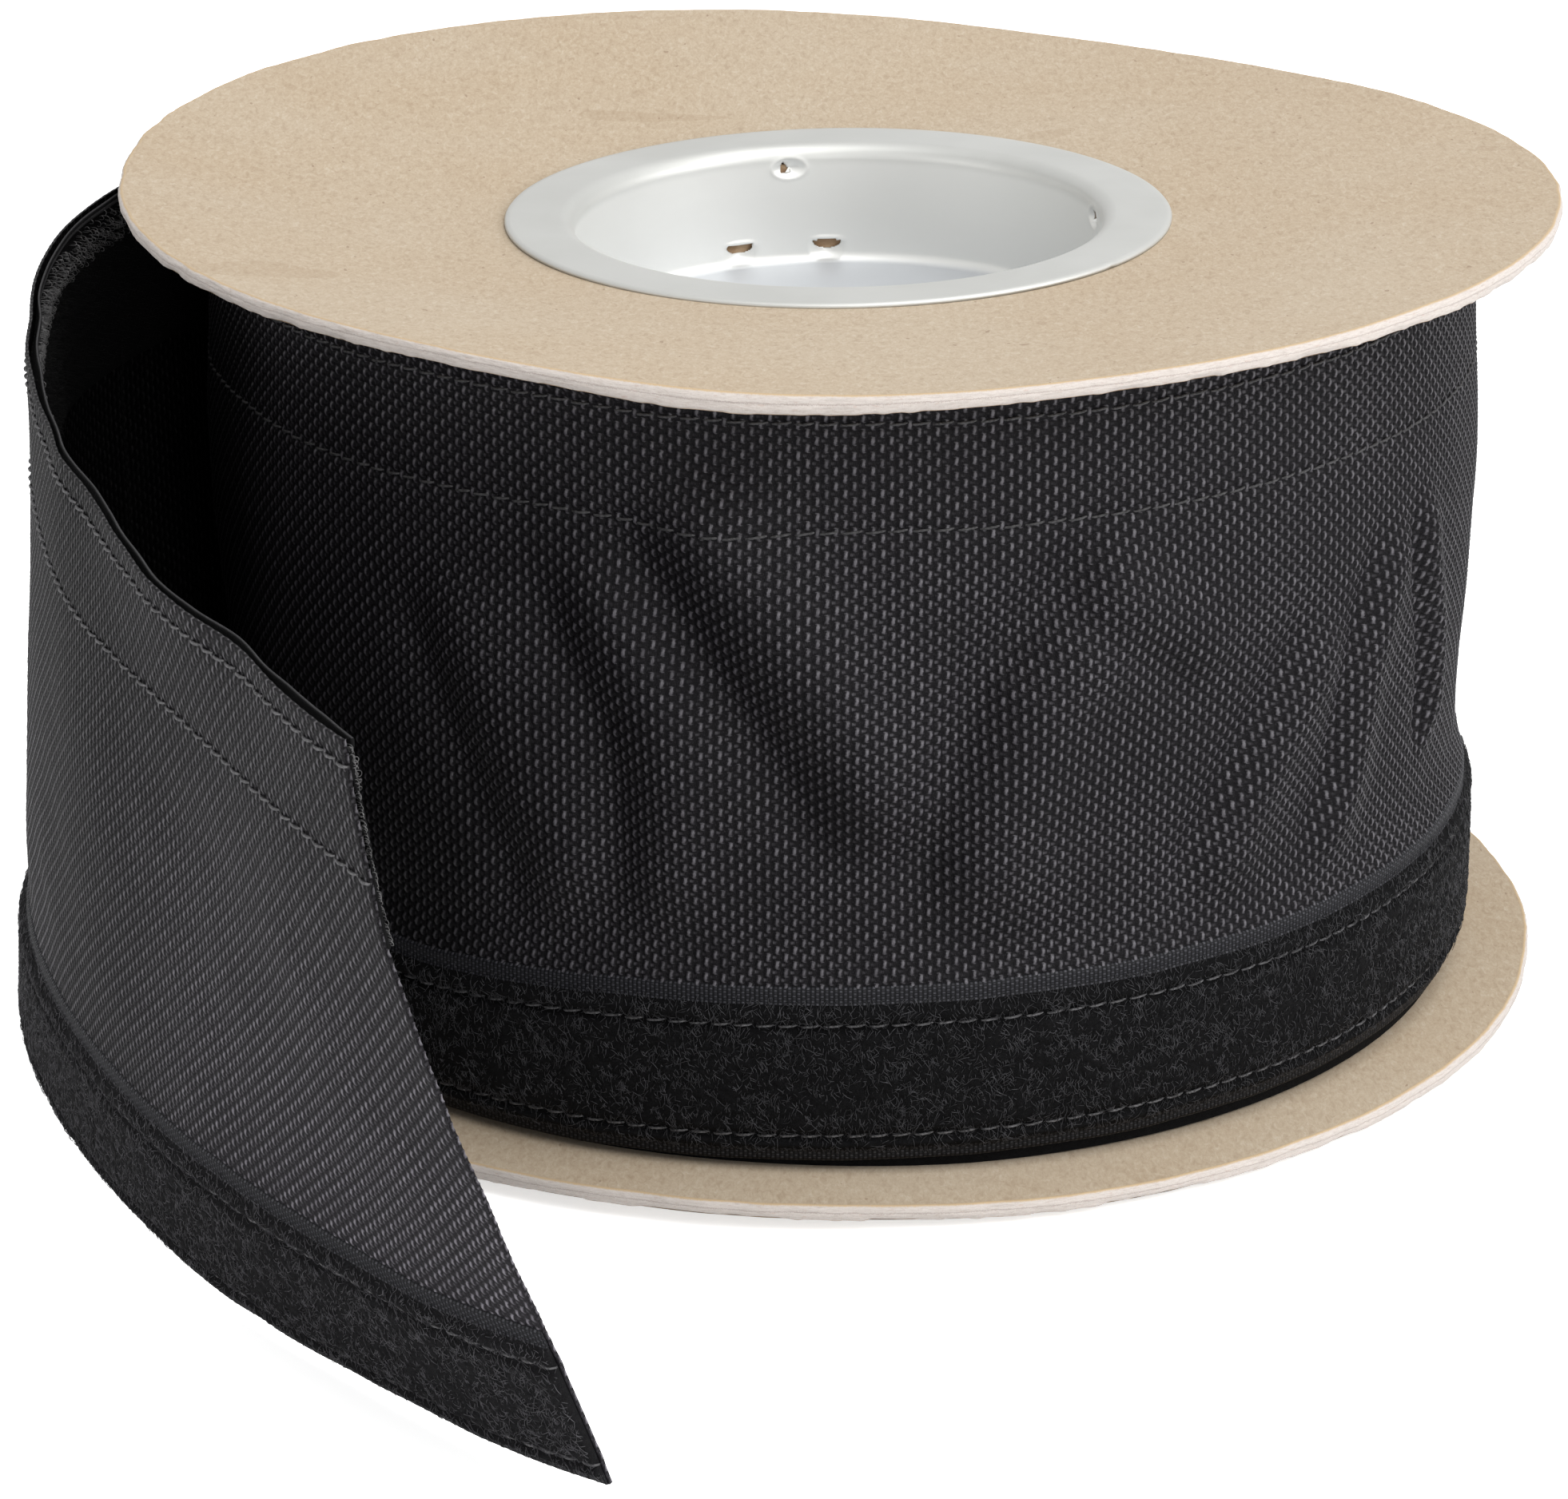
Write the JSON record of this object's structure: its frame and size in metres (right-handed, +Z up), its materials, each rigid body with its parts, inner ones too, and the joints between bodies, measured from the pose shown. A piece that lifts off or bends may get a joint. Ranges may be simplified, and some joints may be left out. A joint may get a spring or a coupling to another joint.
{
  "type": "reel of woven wrap-around cable cover",
  "caption": "Cardboard reel with drawn metal hubs, wound with a black woven wrap-around cover strip with hook and loop edges and a free tail.",
  "frame": {"origin": "middle of the reel on its axis, half way between the two hub rims", "axes": "+Z up along the reel's axis, -Y towards the tail's cut end, +X to the right of it"},
  "size_m": [0.2182, 0.2932, 0.1142],
  "materials": {
    "chipboard": "kraft-faced grey chipboard, fibrous cut edge",
    "core_paper": "spiral wound kraft paper",
    "tinplate": "dull drawn tinplate",
    "tape_paper": "creped paper tape",
    "woven_nylon": "plain weave multifilament",
    "loop_pile": "short loop pile",
    "hook_tape": "moulded hooks on woven tape",
    "thread": "twisted sewing thread"
  },
  "bodies": {
    "reel": {"top_flange": "chipboard", "bottom_flange": "chipboard", "core_tube": "core_paper", "top_hub_cup": "tinplate", "bottom_hub_cup": "tinplate", "start_tape": "tape_paper", "inner_turns_fabric": "woven_nylon", "inner_turns_loop_tape": "loop_pile", "inner_turns_hook_tape": "hook_tape", "outer_turn_fabric": "woven_nylon", "outer_turn_loop_tape": "loop_pile", "outer_turn_hook_tape": "hook_tape", "outer_turn_bottom_stitch": "thread", "outer_turn_loop_stitch": "thread", "outer_turn_hook_stitch": "thread", "outer_turn_top_stitch": "thread"},
    "tail_root": {"tail_root_fabric": "woven_nylon", "tail_root_loop_tape": "loop_pile", "tail_root_hook_tape": "hook_tape", "tail_root_bottom_stitch": "thread", "tail_root_loop_stitch": "thread", "tail_root_hook_stitch": "thread", "tail_root_top_stitch": "thread"},
    "tail_middle": {"tail_middle_fabric": "woven_nylon", "tail_middle_loop_tape": "loop_pile", "tail_middle_hook_tape": "hook_tape", "tail_middle_bottom_stitch": "thread", "tail_middle_loop_stitch": "thread", "tail_middle_hook_stitch": "thread", "tail_middle_top_stitch": "thread"},
    "tail_end": {"tail_end_fabric": "woven_nylon", "tail_end_loop_tape": "loop_pile", "tail_end_hook_tape": "hook_tape", "tail_end_bottom_stitch": "thread", "tail_end_loop_stitch": "thread", "tail_end_hook_stitch": "thread", "tail_end_top_stitch": "thread"}
  },
  "joints": [
    {"name": "tail_takeoff", "type": "hinge", "parent": "reel", "child": "tail_root", "pos_m": [-0.08502, 0.03435, 0.0027], "axis": [0, 0, -1], "range_deg": [0, 75]},
    {"name": "tail_bend_1", "type": "hinge", "parent": "tail_root", "child": "tail_middle", "pos_m": [-0.1115, -0.04439, 0.00356], "axis": [-0.068, 0.0127, -0.9976], "range_deg": [-18, 60]},
    {"name": "tail_bend_2", "type": "hinge", "parent": "tail_middle", "child": "tail_end", "pos_m": [-0.08592, -0.11821, -0.0012], "axis": [0.0473, 0.0573, -0.9972], "range_deg": [-27, 60]}
  ]
}
